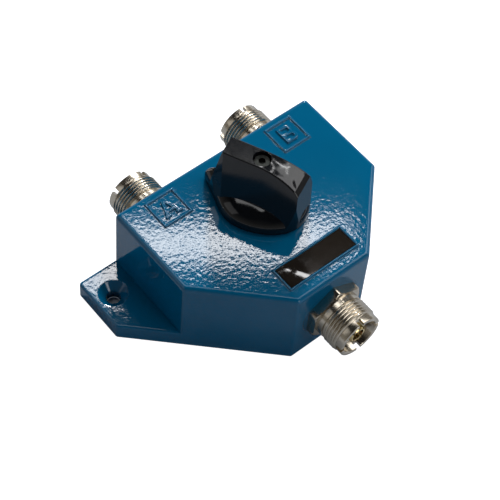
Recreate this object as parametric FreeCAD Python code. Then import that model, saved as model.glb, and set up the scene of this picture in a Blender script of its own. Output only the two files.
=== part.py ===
import FreeCAD, Part
import math
import os

# Two-position coaxial antenna switch.
# Millimetres. +Z is up. The origin is on the knob's axis, in the plane that the switch stands on.
# Ports A and B leave the back wall (+Y), the common port leaves the front wall (-Y).

V = FreeCAD.Vector
X_AXIS = V(1, 0, 0)
Y_AXIS = V(0, 1, 0)
Z_AXIS = V(0, 0, 1)

# ---- Driving dimensions -------------------------------------------------------------------------

# How far a cutting shape runs past the face that it opens, and how close an edge must be to be meant
past = 1.0
match = 0.05

# Casting, measured in the base plane
body_width = 73.9
axis_to_back = 21.5
axis_to_front = 34.7
front_face_width = 27.2
body_height = 30.0
draft_angle = 0.7
wall = 2.8
roof = 3.2
top_edge_radius = 1.5
upright_edge_radius = 1.0
cavity_corner_radius = 1.6

# Mounting ears
ear_span = 101.2
ear_thickness = 5.8
ear_corner_radius = 1.2
ear_edge_radius = 0.8
ear_hole_radius = 2.2
ear_sink_radius = 4.6
ear_hole_inset = 6.3
ear_hole_from_back = 9.3

# Raised frames on the roof
letter_frame_size = 10.2
letter_frame_width = 0.7
letter_frame_height = 0.4
letter_frame_x = 22.7
letter_frame_y = 13.5
plate_frame_width = 0.6
plate_frame_height = 0.55
frame_root = 0.5
frame_edge_radius = 0.25

# Label plate
label_length = 24.4
label_width = 7.2
label_thickness = 0.4
label_from_front = 8.8
label_clearance = 0.1

# Base plate and its screws
base_plate_thickness = 2.0
base_plate_rim = 1.4
base_plate_clearance = 0.1
pillar_radius = 3.4
pillar_side_inset = 5.1
pillar_front_x = 10.3
screw_radius = 1.5
screw_length = 8.0
screw_head_radius = 2.75
screw_clearance = 0.05

# Coaxial sockets: 5/8 inch outer thread, 4 mm contact bore
port_spacing = 43.2
port_height = 15.0
thread_radius = 7.94
thread_length = 7.6
hex_flats = 17.0
hex_length = 3.0
hex_chamfer = 0.8
lip_radius = 7.45
lip_length = 2.4
neck_radius = 7.2
neck_length = 0.4
notch_width = 2.2
notch_depth = 2.1
shell_bore_radius = 6.1
shell_rear_bore_radius = 4.3
shell_step_height = 1.0
thread_chamfer = 0.5
spigot_radius = 6.35
spigot_clearance = 0.05
port_boss_radius = 9.0
port_boss_length = 3.0
seat_margin = 0.5
insulator_recess = 3.2
insulator_clearance = 0.03
contact_radius = 2.9
contact_bore_radius = 2.0
contact_bore_depth = 8.0
contact_length = 11.0
contact_lead_in = 0.4
contact_recess = 0.9
contact_tail_radius = 1.5
contact_tail_reach = 4.6
contact_slot_width = 0.5
contact_slot_depth = 5.0
contact_drill_point = 1.0

# Turn of each lip's notches, as the threads happened to stop
notch_turns = {"common": 4.0, "port_a": 40.0, "port_b": 6.0}

# Shaft, bush and rings
shaft_radius = 3.0
running_clearance = 0.05
shaft_flat = 2.4
bush_radius = 4.5
bush_flange_radius = 6.0
bush_flange_thickness = 0.8
shaft_boss_radius = 7.0
shaft_boss_depth = 4.3
ring_thickness = 0.8
ring_radius = 4.8
ring_groove_radius = 2.35
ring_fit = 0.03
ring_mouth_width = 3.8
ring_play = 0.15
shaft_tail = 1.2
shaft_reach = 6.0

# Rotor and contacts
blade_thickness = 0.8
blade_width = 4.0
blade_reach = 14.6
blade_ring_radius = 6.6
strip_thickness = 0.8
strip_width = 6.0
strip_ring_radius = 7.4
strip_tab_height = 2.2
strip_drop = 2.1
strip_tab_inset = 0.6
strip_ring_clearance = 0.2
strip_hole_clearance = 0.05
sliding_gap = 0.05
hub_radius = 8.0
hub_hex_flats = 9.4
hub_spigot_radius = 4.4
hub_spigot_length = 2.2
hub_fit = 0.05
pad_width = 3.2
pad_gap = 5.4

# Detent
detent_disc_radius = 9.0
detent_disc_thickness = 1.5
detent_notch_radius = 1.3
detent_notch_depth = 0.85
detent_fit = 0.1
stop_lug_width = 3.0
stop_lug_reach = 12.5
stop_post_radius = 1.8
stop_post_ring = 11.3
stop_clearance = 0.12
stop_post_overhang = 0.5
leaf_thickness = 0.4
leaf_height = 3.0
leaf_span = 26.0
leaf_bow = 1.3
leaf_slot_depth = 2.4
leaf_pillar_length = 4.4
leaf_pillar_width = 3.6
leaf_clearance = 0.05

# Channel ribs beside the common line
rib_inner_gap = 17.0
rib_thickness = 2.0
rib_end_y = -13.0

# Knob
throw_angle = 50.0
knob_gap = 0.5
knob_height = 19.3
knob_skirt_height = 6.2
knob_dome_height = 4.6
knob_dome_reach = 8.4
knob_dome_turns = (0, 16, 32, 48, 64, 80)
knob_half_width = 12.1
knob_tail_length = 15.6
knob_tail_radius = 10.4
knob_nose_centre = 0.4
knob_nose_apex = 17.9
knob_nose_slant = 0.7
knob_tip_radius = 0.9
knob_bar_width = 6.4
knob_side_lean = 14.5
knob_corner_back = 8.6
knob_corner_half = 5.0
knob_corner_top_share = 0.05
knob_bar_front_top = 11.1
knob_bar_front_base = 14.9
knob_bar_tail_top = 12.2
knob_bar_tail_base = 15.1
knob_tail_drop = 3.5
knob_tail_chamfer = 1.3
knob_edge_radius = 0.5
knob_wall = 1.8
knob_hollow_depth = 4.0
knob_hub_radius = 5.4
knob_hub_gap = 0.2
knob_bore_play = 0.2
knob_bore_fit = 0.05
knob_screw_radius = 1.25
knob_screw_head_radius = 2.25
knob_screw_head_height = 2.4
knob_screw_engagement = 5.5
tap_allowance = 1.0
knob_screw_socket_flats = 2.0
knob_screw_socket_depth = 1.3
counterbore_clearance = 0.45
counterbore_depth = 3.4

# ---- Derived levels -----------------------------------------------------------------------------

draft = math.tan(math.radians(draft_angle))
cavity_top = body_height - roof
seat_rise = port_height + hex_flats / math.sqrt(3) + seat_margin
back_seat_y = axis_to_back - seat_rise * draft
front_seat_y = -axis_to_front + seat_rise * draft
rest_turn = throw_angle / 2

boss_bottom = cavity_top - shaft_boss_depth
bush_bottom = boss_bottom - bush_flange_thickness
upper_ring_top = bush_bottom - ring_play
upper_ring_bottom = upper_ring_top - ring_thickness
disc_top = upper_ring_bottom - ring_play
disc_bottom = disc_top - detent_disc_thickness
strip_top = port_height - contact_tail_radius - strip_drop + strip_thickness
strip_bottom = strip_top - strip_thickness
blade_bottom = strip_top + sliding_gap
blade_top = blade_bottom + blade_thickness
hub_bottom = strip_bottom - hub_spigot_length
lower_ring_top = hub_bottom - ring_play
lower_ring_bottom = lower_ring_top - ring_thickness
shaft_bottom = lower_ring_bottom - shaft_tail

knob_base = body_height + knob_gap
knob_top = knob_base + knob_height
counterbore_floor = knob_top - counterbore_depth
shaft_top = body_height + shaft_reach
knob_bore_top = shaft_top + knob_bore_play
spigot_length = wall + port_boss_length
socket_length = hex_length + neck_length + thread_length + lip_length

leaf_bottom = (disc_bottom + disc_top) / 2 - leaf_height / 2
leaf_middle_y = detent_disc_radius - detent_notch_depth + detent_notch_radius
leaf_seat_y = leaf_middle_y + leaf_bow
label_y = -axis_to_front + label_from_front


# ---- Shared shapes ------------------------------------------------------------------------------

def save(shape, name):
    """Write one sub-part as a STEP file."""
    os.makedirs("parts", exist_ok=True)
    shape.exportStep("parts/" + name + ".step")


def disc(radius, bottom, top, x=0.0, y=0.0):
    """Upright cylinder between two heights."""
    return Part.makeCylinder(radius, top - bottom, V(x, y, bottom))


def tube(outer, inner, bottom, top):
    """Upright ring between two heights, round the Z axis."""
    return disc(outer, bottom, top).cut(disc(inner, bottom - past, top + past))


def block(x_low, x_high, y_low, y_high, z_low, z_high):
    """Box given by its limits."""
    return Part.makeBox(x_high - x_low, y_high - y_low, z_high - z_low, V(x_low, y_low, z_low))


def prism(points, bottom, top):
    """Upright prism on a closed outline of (x, y) points."""
    corners = [V(x, y, bottom) for x, y in points]
    outline = Part.makePolygon(corners + corners[:1])
    return Part.Face(outline).extrude(V(0, 0, top - bottom))


def hexagon(across_flats, bottom, top, turn=0.0):
    """Upright hexagonal prism on the Z axis, with a corner on +Y when turn is 0."""
    corner = across_flats / math.sqrt(3)
    angles = [math.radians(turn + 90 + 60 * i) for i in range(6)]
    return prism([(corner * math.cos(a), corner * math.sin(a)) for a in angles], bottom, top)


def turned(profile):
    """Solid of revolution about Z from a closed profile of (radius, height) points."""
    points = [V(r, 0, z) for r, z in profile]
    face = Part.Face(Part.makePolygon(points + points[:1]))
    return face.revolve(V(0, 0, 0), Z_AXIS, 360)


def turn_z(shape, angle):
    """The shape turned about the knob's axis, counterclockwise seen from above."""
    copy = shape.copy()
    copy.rotate(V(0, 0, 0), Z_AXIS, angle)
    return copy


def upright_edges(shape, z_low, z_high):
    """Edges that rise from one height to the other."""
    found = []
    for edge in shape.Edges:
        box = edge.BoundBox
        spans = abs(box.ZMin - z_low) < match and abs(box.ZMax - z_high) < match
        if spans and box.ZLength > max(box.XLength, box.YLength):
            found.append(edge)
    return found


def level_edges(shape, z):
    """Edges that lie at one height."""
    return [e for e in shape.Edges if abs(e.BoundBox.ZMin - z) < match and abs(e.BoundBox.ZMax - z) < match]


# ---- Casting ------------------------------------------------------------------------------------

def casting_outline(inset, half_width=body_width / 2):
    """Plan of the casting, moved inwards by inset: a rectangle with 45 degree front corners."""
    slope = front_face_width / 2 + axis_to_front - inset * math.sqrt(2)
    side = half_width - inset
    back = axis_to_back - inset
    front = -axis_to_front + inset
    right = [(slope + front, front), (side, side - slope), (side, back)]
    return right + [(-x, y) for x, y in reversed(right)]


def drafted_block(bottom_outline, top_outline, bottom, top):
    """Solid between two parallel outlines at two heights."""
    low = [V(x, y, bottom) for x, y in bottom_outline]
    high = [V(x, y, top) for x, y in top_outline]
    faces = [Part.Face(Part.makePolygon(low + low[:1])), Part.Face(Part.makePolygon(high + high[:1]))]
    for i in range(len(low)):
        j = (i + 1) % len(low)
        faces.append(Part.Face(Part.makePolygon([low[i], low[j], high[j], high[i], low[i]])))
    shell = Part.makeShell(faces)
    shell.sewShape()
    return Part.Solid(shell).removeSplitter()


def casting_shell():
    """Outer form of the box: leaning walls with rounded top and upright edges."""
    body = drafted_block(casting_outline(0), casting_outline(body_height * draft), 0, body_height)
    body = body.makeFillet(upright_edge_radius, upright_edges(body, 0, body_height))
    return body.makeFillet(top_edge_radius, level_edges(body, body_height))


def mounting_ears():
    """Flat ears along the back: the 45 degree walls run on to the ears' outer edges."""
    half = ear_span / 2
    low = casting_outline(0, half)
    high = casting_outline(ear_thickness * draft, half)
    ears = drafted_block(low, high, 0, ear_thickness)
    edges = upright_edges(ears, 0, ear_thickness)
    outer = [e for e in edges if abs(e.CenterOfMass.x) > (half + body_width / 2) / 2]
    ears = ears.makeFillet(ear_corner_radius, outer)
    inner = [e for e in upright_edges(ears, 0, ear_thickness) if abs(e.CenterOfMass.x) < body_width / 2]
    ears = ears.makeFillet(upright_edge_radius, inner)
    return ears.makeFillet(ear_edge_radius, level_edges(ears, ear_thickness))


def ear_holes():
    """Countersunk screw holes through both ears."""
    cuts = []
    for side in (-1, 1):
        x = side * (ear_span / 2 - ear_hole_inset)
        y = axis_to_back - ear_hole_from_back
        sink_depth = ear_sink_radius - ear_hole_radius
        cuts.append(disc(ear_hole_radius, -past, ear_thickness + past, x, y))
        sink_foot = V(x, y, ear_thickness - sink_depth)
        cuts.append(Part.makeCone(ear_hole_radius, ear_sink_radius, sink_depth, sink_foot))
    return cuts


def pillar_places():
    """Centres of the four screw pillars inside the box's corners."""
    side = body_width / 2 - pillar_side_inset
    back = axis_to_back - pillar_side_inset
    front = -axis_to_front + pillar_side_inset
    return [(-side, back), (side, back), (-pillar_front_x, front), (pillar_front_x, front)]


def port_places():
    """Name, x, y of the seat and outward direction of each socket."""
    half = port_spacing / 2
    back = [("port_a", -half, back_seat_y, 1), ("port_b", half, back_seat_y, 1)]
    return [("common", 0.0, front_seat_y, -1)] + back


def along_wall(shape, x, seat_y, outward):
    """Place a shape that was built about Z, with its seat at z = 0, on a wall at the ports' height."""
    copy = shape.copy()
    copy.rotate(V(0, 0, 0), X_AXIS, -90 * outward)
    copy.translate(V(x, seat_y, port_height))
    return copy


def cast_bosses():
    """Pillars, bosses, ribs and posts that stand in the cavity."""
    solids = [disc(pillar_radius, base_plate_thickness, cavity_top, x, y) for x, y in pillar_places()]
    solids.append(disc(shaft_boss_radius, boss_bottom, cavity_top))
    for name, x, seat_y, outward in port_places():
        boss = disc(port_boss_radius, -spigot_length, -wall / 2)
        solids.append(along_wall(boss, x, seat_y, outward))
    rib_start = -axis_to_front + wall
    for side in (-1, 1):
        inner = side * rib_inner_gap / 2
        outer = inner + side * rib_thickness
        solids.append(block(min(inner, outer), max(inner, outer), rib_start, rib_end_y,
                            base_plate_thickness, cavity_top))
    for side in (-1, 1):
        lug_half = math.degrees(math.asin(stop_lug_width / 2 / stop_post_ring))
        post_half = math.degrees(math.asin((stop_post_radius + stop_clearance) / stop_post_ring))
        angle = math.radians(-90 + side * (throw_angle / 2 + lug_half + post_half))
        x = stop_post_ring * math.cos(angle)
        y = stop_post_ring * math.sin(angle)
        solids.append(disc(stop_post_radius, disc_bottom - stop_post_overhang, cavity_top, x, y))
    for side in (-1, 1):
        outer = side * (leaf_span / 2 + leaf_pillar_length - leaf_slot_depth)
        inner = outer - side * leaf_pillar_length
        solids.append(block(min(inner, outer), max(inner, outer),
                            leaf_seat_y - leaf_pillar_width / 2, leaf_seat_y + leaf_pillar_width / 2,
                            leaf_bottom, cavity_top))
    return solids


def square_frame(x, y, length, width, border, height):
    """Raised rectangular frame on the roof, given by its outer size, with its top edges rounded."""
    low = body_height - frame_root
    outer = block(x - length / 2, x + length / 2, y - width / 2, y + width / 2, low, body_height + height)
    inner = block(x - length / 2 + border, x + length / 2 - border,
                  y - width / 2 + border, y + width / 2 - border, low - past, body_height + height + past)
    frame = outer.cut(inner)
    return frame.makeFillet(frame_edge_radius, level_edges(frame, body_height + height))


def roof_frames():
    """Frames around the two port letters and the label plate."""
    frames = []
    for side in (-1, 1):
        frames.append(square_frame(side * letter_frame_x, letter_frame_y, letter_frame_size,
                                   letter_frame_size, letter_frame_width, letter_frame_height))
    grow = 2 * (label_clearance + plate_frame_width)
    frames.append(square_frame(0, label_y, label_length + grow, label_width + grow,
                               plate_frame_width, plate_frame_height))
    return frames


def housing():
    """The die casting: hollow box, ears, bosses and everything that is cast with them."""
    cast = casting_shell().fuse(mounting_ears()).removeSplitter()
    pocket_low = casting_outline(wall)
    pocket_high = casting_outline(wall + cavity_top * draft)
    pocket = drafted_block(pocket_low, pocket_high, 0, cavity_top)
    pocket = pocket.makeFillet(cavity_corner_radius, upright_edges(pocket, 0, cavity_top))
    bosses = cast_bosses()
    inside = bosses[0].multiFuse(bosses[1:])
    cast = cast.cut(pocket.cut(inside))
    cast = cast.multiFuse(roof_frames())
    cuts = ear_holes()
    cuts.append(prism(casting_outline(base_plate_rim), -past, base_plate_thickness))
    cuts.append(disc(bush_radius, boss_bottom - past, body_height + past))
    for name, x, seat_y, outward in port_places():
        bore = disc(spigot_radius + spigot_clearance, -spigot_length - past, past)
        seat = disc(hex_flats / math.sqrt(3) + seat_margin, 0, wall)
        cuts.append(along_wall(bore.fuse(seat), x, seat_y, outward))
    for x, y in pillar_places():
        cuts.append(disc(screw_radius + screw_clearance, 0, screw_length + past, x, y))
    cuts.append(leaf_slots())
    return cast.cut(cuts[0].multiFuse(cuts[1:]))


# ---- Base plate ---------------------------------------------------------------------------------

def screw_form(clearance):
    """Countersunk screw with its head's face at z = 0, pointing up."""
    head = screw_head_radius + clearance
    shank = screw_radius + clearance
    return turned([(0, 0), (head, 0), (shank, head - shank), (shank, screw_length), (0, screw_length)])


def base_plate():
    """Flat lid that closes the casting from below."""
    plate = prism(casting_outline(base_plate_rim + base_plate_clearance), 0, base_plate_thickness)
    for x, y in pillar_places():
        hole = screw_form(screw_clearance)
        hole.translate(V(x, y, 0))
        plate = plate.cut(hole)
    return plate


def base_plate_screws():
    """The lid's four screws, one solid each."""
    screws = []
    for x, y in pillar_places():
        screw = screw_form(0)
        screw.translate(V(x, y, 0))
        screws.append(screw)
    return Part.makeCompound(screws)


# ---- Coaxial sockets ----------------------------------------------------------------------------

def socket_shell(notch_turn):
    """Turned shell on Z with its flange seat at z = 0: spigot, hexagon, thread and notched lip."""
    thread_start = hex_length + neck_length
    thread_end = thread_start + thread_length
    body = turned([
        (shell_rear_bore_radius, -spigot_length), (spigot_radius, -spigot_length), (spigot_radius, 0),
        (neck_radius, 0), (neck_radius, thread_start),
        (thread_radius, thread_start + thread_chamfer), (thread_radius, thread_end - thread_chamfer),
        (lip_radius, thread_end), (lip_radius, socket_length),
        (shell_bore_radius, socket_length), (shell_bore_radius, shell_step_height),
        (shell_rear_bore_radius, shell_step_height)])
    corner = hex_flats / math.sqrt(3)
    root = (neck_radius + shell_bore_radius) / 2
    crown = turned([
        (root, 0), (corner, 0), (corner, hex_length - hex_chamfer / 2),
        (corner - hex_chamfer, hex_length), (root, hex_length)])
    nut = hexagon(hex_flats, 0, hex_length).common(crown)
    shell = body.fuse(nut)
    for turn in (0, 90):
        slot = block(-thread_radius, thread_radius, -notch_width / 2, notch_width / 2,
                     socket_length - notch_depth, socket_length + past)
        core = disc(shell_rear_bore_radius, socket_length - notch_depth, socket_length + past)
        shell = shell.cut(turn_z(slot.cut(core), notch_turn + turn))
    return shell


def socket_insulator():
    """Insulating sleeve between a shell and its centre contact."""
    outer = shell_bore_radius - insulator_clearance
    rear = shell_rear_bore_radius - insulator_clearance
    bore = contact_radius + insulator_clearance
    rear_bore = contact_tail_radius + insulator_clearance
    step = shell_step_height
    face = socket_length - insulator_recess
    floor = socket_length - contact_recess - contact_length
    return turned([
        (rear_bore, -spigot_length), (rear, -spigot_length), (rear, step), (outer, step), (outer, face),
        (bore, face), (bore, floor), (rear_bore, floor)])


def socket_contact():
    """Split centre contact with a solder tail that reaches into the box."""
    mouth = socket_length - contact_recess
    heel = mouth - contact_length
    body = turned([
        (0, -spigot_length - contact_tail_reach), (contact_tail_radius, -spigot_length - contact_tail_reach),
        (contact_tail_radius, heel), (contact_radius, heel), (contact_radius, mouth - contact_lead_in),
        (contact_radius - contact_lead_in, mouth), (contact_bore_radius, mouth),
        (contact_bore_radius, mouth - contact_bore_depth),
        (0, mouth - contact_bore_depth - contact_drill_point)])
    for turn in (45, 135):
        slot = block(-contact_radius - past, contact_radius + past, -contact_slot_width / 2,
                     contact_slot_width / 2, mouth - contact_slot_depth, mouth + past)
        body = body.cut(turn_z(slot, turn))
    return body


# ---- Shaft and bush -----------------------------------------------------------------------------

def flatted(radius, flat, bottom, top):
    """Upright cylinder with one flat on its +X side."""
    kept = block(-radius - past, flat, -radius - past, radius + past, bottom, top)
    return disc(radius, bottom, top).common(kept)


def shaft():
    """Turned shaft: round in the bush, flatted above and below it, tapped for the knob's screw."""
    body = disc(shaft_radius, upper_ring_top, body_height)
    body = body.fuse(flatted(shaft_radius, shaft_flat, shaft_bottom, upper_ring_top))
    body = body.fuse(flatted(shaft_radius, shaft_flat, body_height, shaft_top))
    for bottom in (upper_ring_bottom, lower_ring_bottom):
        body = body.cut(tube(shaft_radius + past, ring_groove_radius, bottom, bottom + ring_thickness))
    tap_bottom = shaft_top - knob_screw_engagement - tap_allowance
    tapped = disc(knob_screw_radius + screw_clearance, tap_bottom, shaft_top + past)
    return turn_z(body.cut(tapped), rest_turn)


def shaft_bush():
    """Flanged bearing bush, pressed into the roof from inside."""
    sleeve = disc(bush_radius, bush_bottom, body_height)
    flange = disc(bush_flange_radius, bush_bottom, boss_bottom)
    bore = disc(shaft_radius + running_clearance, bush_bottom - past, body_height + past)
    return sleeve.fuse(flange).cut(bore)


def retaining_rings():
    """Spring rings in the shaft's two grooves, open on one side."""
    rings = []
    for bottom in (upper_ring_bottom, lower_ring_bottom):
        ring = tube(ring_radius, ring_groove_radius + ring_fit, bottom, bottom + ring_thickness)
        mouth = block(-ring_mouth_width / 2, ring_mouth_width / 2, -ring_radius - past, 0,
                      bottom - past, bottom + ring_thickness + past)
        rings.append(turn_z(ring.cut(mouth), rest_turn))
    return Part.makeCompound(rings)


# ---- Rotor --------------------------------------------------------------------------------------

def hub_bore(bottom, top):
    """Flatted hole for the shaft in a piece that turns with it."""
    return flatted(shaft_radius + hub_fit, shaft_flat + hub_fit, bottom, top)


def rotor_hub():
    """Moulded hub: a drum, a hexagon that drives the blade and a round spigot below it."""
    drum = disc(hub_radius, blade_top, disc_bottom)
    drive = hexagon(hub_hex_flats, strip_top, blade_top)
    spigot = disc(hub_spigot_radius, hub_bottom, strip_top)
    body = drum.multiFuse([drive, spigot])
    return turn_z(body.cut(hub_bore(hub_bottom - past, disc_bottom + past)), rest_turn)


def rotor_blade():
    """Contact blade: a ring on the hub's hexagon and an arm with a rounded tip."""
    arm = block(-blade_width / 2, blade_width / 2, 0, blade_reach - blade_width / 2, blade_bottom, blade_top)
    tip = disc(blade_width / 2, blade_bottom, blade_top, 0, blade_reach - blade_width / 2)
    body = disc(blade_ring_radius, blade_bottom, blade_top).multiFuse([arm, tip])
    body = body.cut(hexagon(hub_hex_flats + 2 * hub_fit, blade_bottom - past, blade_top + past))
    return turn_z(body, rest_turn)


def solder_tab(x, y, outward):
    """Upright tab with a hole that slips over a contact's tail."""
    half = strip_width / 2
    top = port_height + contact_tail_radius + strip_tab_height
    y_low = min(y, y - outward * strip_thickness)
    tab = block(x - half, x + half, y_low, y_low + strip_thickness, strip_bottom, top)
    hole = Part.makeCylinder(contact_tail_radius + strip_hole_clearance, strip_thickness + 2 * past,
                             V(x, y_low - past, port_height), Y_AXIS)
    return tab.cut(hole)


def common_strip():
    """Strip from the common contact's tail to a ring under the blade."""
    tab_y = front_seat_y + spigot_length + contact_tail_reach - strip_tab_inset
    flat = block(-strip_width / 2, strip_width / 2, tab_y - strip_thickness, 0, strip_bottom, strip_top)
    ring = disc(strip_ring_radius, strip_bottom, strip_top)
    body = flat.multiFuse([ring, solder_tab(0, tab_y, 1)])
    return body.cut(disc(hub_spigot_radius + strip_ring_clearance, strip_bottom - past, strip_top + past))


def fixed_contact(side):
    """Strip from a port contact's tail to the pad that the blade slides on to."""
    x = side * port_spacing / 2
    tab_y = back_seat_y - spigot_length - contact_tail_reach + strip_tab_inset
    pad_y = tab_y + strip_thickness - pad_width
    inner = side * (pad_gap / 2 + pad_width / 2)
    outer = x + side * strip_width / 2
    flat = block(min(inner, outer), max(inner, outer), pad_y, pad_y + pad_width, strip_bottom, strip_top)
    tip = disc(pad_width / 2, strip_bottom, strip_top, inner, pad_y + pad_width / 2)
    return flat.multiFuse([tip, solder_tab(x, tab_y, -1)])


# ---- Detent -------------------------------------------------------------------------------------

def detent_disc():
    """Notched disc on the hub, with the lug that meets the stop posts."""
    body = disc(detent_disc_radius, disc_bottom, disc_top)
    lug = block(-stop_lug_width / 2, stop_lug_width / 2, -stop_lug_reach, 0, disc_bottom, disc_top)
    rim = disc(stop_lug_reach, disc_bottom, disc_top)
    body = body.fuse(lug.common(rim))
    notch_ring = detent_disc_radius - detent_notch_depth + detent_notch_radius
    for turn in (-rest_turn, rest_turn):
        notch = disc(detent_notch_radius, disc_bottom - past, disc_top + past, 0, notch_ring)
        body = body.cut(turn_z(notch, turn))
    return turn_z(body.cut(hub_bore(disc_bottom - past, disc_top + past)), rest_turn)


def detent_spring():
    """Leaf spring, bowed towards the disc, with a rounded bump in its middle."""
    outer = detent_notch_radius - detent_fit
    inner = outer - leaf_thickness
    middle = leaf_middle_y
    shoulder = middle + leaf_thickness
    end = leaf_span / 2
    bend = end - leaf_slot_depth
    low = leaf_seat_y - leaf_thickness / 2
    high = leaf_seat_y + leaf_thickness / 2
    right = [(outer, middle), (bend, low), (end, low), (end, high), (bend, high)]
    right += [(inner, shoulder), (inner, middle)]
    left = [(-x, y) for x, y in reversed(right)]
    edges = [Part.Arc(V(-outer, middle, 0), V(0, middle - outer, 0), V(outer, middle, 0)).toShape()]
    edges += [Part.makeLine(V(*a, 0), V(*b, 0)) for a, b in zip(right, right[1:])]
    edges.append(Part.Arc(V(inner, middle, 0), V(0, middle - inner, 0), V(-inner, middle, 0)).toShape())
    edges += [Part.makeLine(V(*a, 0), V(*b, 0)) for a, b in zip(left, left[1:])]
    leaf = Part.Face(Part.Wire(edges)).extrude(V(0, 0, leaf_height))
    leaf.translate(V(0, 0, leaf_bottom))
    return leaf


def leaf_slots():
    """Slots in the two cast pillars that hold the leaf's ends."""
    half = leaf_span / 2 + leaf_clearance
    width = leaf_thickness + 2 * leaf_clearance
    top = leaf_bottom + leaf_height + leaf_clearance
    slots = []
    for side in (-1, 1):
        outer = side * half
        inner = side * (half - leaf_slot_depth - past)
        slots.append(block(min(inner, outer), max(inner, outer), leaf_seat_y - width / 2,
                           leaf_seat_y + width / 2, leaf_bottom - past, top))
    return slots[0].fuse(slots[1])


# ---- Knob ---------------------------------------------------------------------------------------

def skirt_outline(inset, z):
    """Teardrop plan of the skirt: arcs round the tail and sides, straight nose sides and a rounded tip."""
    half = knob_half_width - inset
    tail_radius = knob_tail_radius - inset
    tail_centre = knob_tail_length - knob_tail_radius
    side_radius = (half ** 2 + tail_centre ** 2 - tail_radius ** 2) / (2 * (half - tail_radius))
    lean = math.atan2(tail_centre, side_radius - half)
    apex = knob_nose_apex - inset * knob_nose_slant
    spread = math.asin(half / (apex - knob_nose_centre))
    tip_centre = apex - knob_tip_radius / math.sin(spread)

    def polar(x, y, radius, angle):
        return V(x + radius * math.cos(angle), y + radius * math.sin(angle), z)

    touch = polar(0, knob_nose_centre, half, spread)
    round_off = polar(0, tip_centre, knob_tip_radius, spread)
    tip = V(0, tip_centre + knob_tip_radius, z)
    flank = V(half, 0, z)
    flank_top = V(half, knob_nose_centre, z)
    nose_middle = polar(0, knob_nose_centre, half, spread / 2)
    side_middle = polar(half - side_radius, 0, side_radius, -lean / 2)
    side_end = polar(half - side_radius, 0, side_radius, -lean)
    tail = V(0, -tail_centre - tail_radius, z)

    def mirrored(point):
        return V(-point.x, point.y, z)

    edges = [
        Part.Arc(mirrored(round_off), tip, round_off).toShape(),
        Part.makeLine(round_off, touch),
        Part.Arc(touch, nose_middle, flank_top).toShape(),
        Part.makeLine(flank_top, flank),
        Part.Arc(flank, side_middle, side_end).toShape(),
        Part.Arc(side_end, tail, mirrored(side_end)).toShape(),
        Part.Arc(mirrored(side_end), mirrored(side_middle), mirrored(flank)).toShape(),
        Part.makeLine(mirrored(flank), mirrored(flank_top)),
        Part.Arc(mirrored(flank_top), mirrored(nose_middle), mirrored(touch)).toShape(),
        Part.makeLine(mirrored(touch), mirrored(round_off)),
    ]
    return Part.Wire(edges)


def knob_skirt():
    """Skirt: a low upright band with a dome of elliptical section lofted over it."""
    dome_start = knob_base + knob_skirt_height - knob_dome_height
    band = Part.Face(skirt_outline(0, knob_base)).extrude(V(0, 0, dome_start - knob_base))
    sections = []
    for turn in knob_dome_turns:
        angle = math.radians(turn)
        inset = knob_dome_reach * (1 - math.cos(angle))
        sections.append(skirt_outline(inset, dome_start + knob_dome_height * math.sin(angle)))
    return band.fuse(Part.makeLoft(sections, True, False))


def knob_bar():
    """Upright bar: sides that lean in, flat top to the middle, a curved slope to the tail, cut front corners."""
    slope_foot = knob_top - knob_tail_drop
    slope_radius = (knob_bar_tail_top ** 2 + knob_tail_drop ** 2) / (2 * knob_tail_drop)
    middle_y = -knob_bar_tail_top / 2
    middle_z = knob_top - slope_radius + math.sqrt(slope_radius ** 2 - middle_y ** 2)
    heel_y = -knob_bar_tail_top - knob_tail_chamfer
    top_half = knob_bar_width / 2
    base_half = top_half + knob_height * math.tan(math.radians(knob_side_lean))
    clear_front = knob_bar_front_base + past
    clear_side = base_half + past
    line = [(-knob_bar_tail_top, slope_foot), (heel_y, slope_foot - knob_tail_chamfer),
            (-knob_bar_tail_base, knob_base), (clear_front, knob_base), (clear_front, knob_top), (0, knob_top)]
    corners = [V(-clear_side, y, z) for y, z in line]
    slope = Part.Arc(corners[-1], V(-clear_side, middle_y, middle_z), corners[0]).toShape()
    edges = [slope] + [Part.makeLine(a, b) for a, b in zip(corners, corners[1:])]
    profile = Part.Face(Part.Wire(edges)).extrude(V(2 * clear_side, 0, 0))

    def plan(half, front, corner_in, corner_back):
        tail = -knob_bar_tail_base - past
        return [(-half, tail), (half, tail), (half, front - corner_back), (half - corner_in, front),
                (corner_in - half, front), (-half, front - corner_back)]

    corner_in = base_half - knob_corner_half
    corner_back = knob_bar_front_base - knob_corner_back
    share = knob_corner_top_share
    wedge = drafted_block(plan(base_half, knob_bar_front_base, corner_in, corner_back),
                          plan(top_half, knob_bar_front_top, share * corner_in, share * corner_back),
                          knob_base, knob_top)
    bar = wedge.common(profile)
    shoulder = slope_foot - knob_tail_chamfer - match
    sides = [e for e in bar.Edges if abs(e.CenterOfMass.x) > top_half - match
             and e.BoundBox.ZMin > shoulder and e.BoundBox.YMax < knob_bar_front_top - share * corner_back + match]
    bar = bar.makeFillet(knob_edge_radius, sides)
    return bar.common(Part.Face(skirt_outline(0, knob_base)).extrude(V(0, 0, knob_height)))


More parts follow.
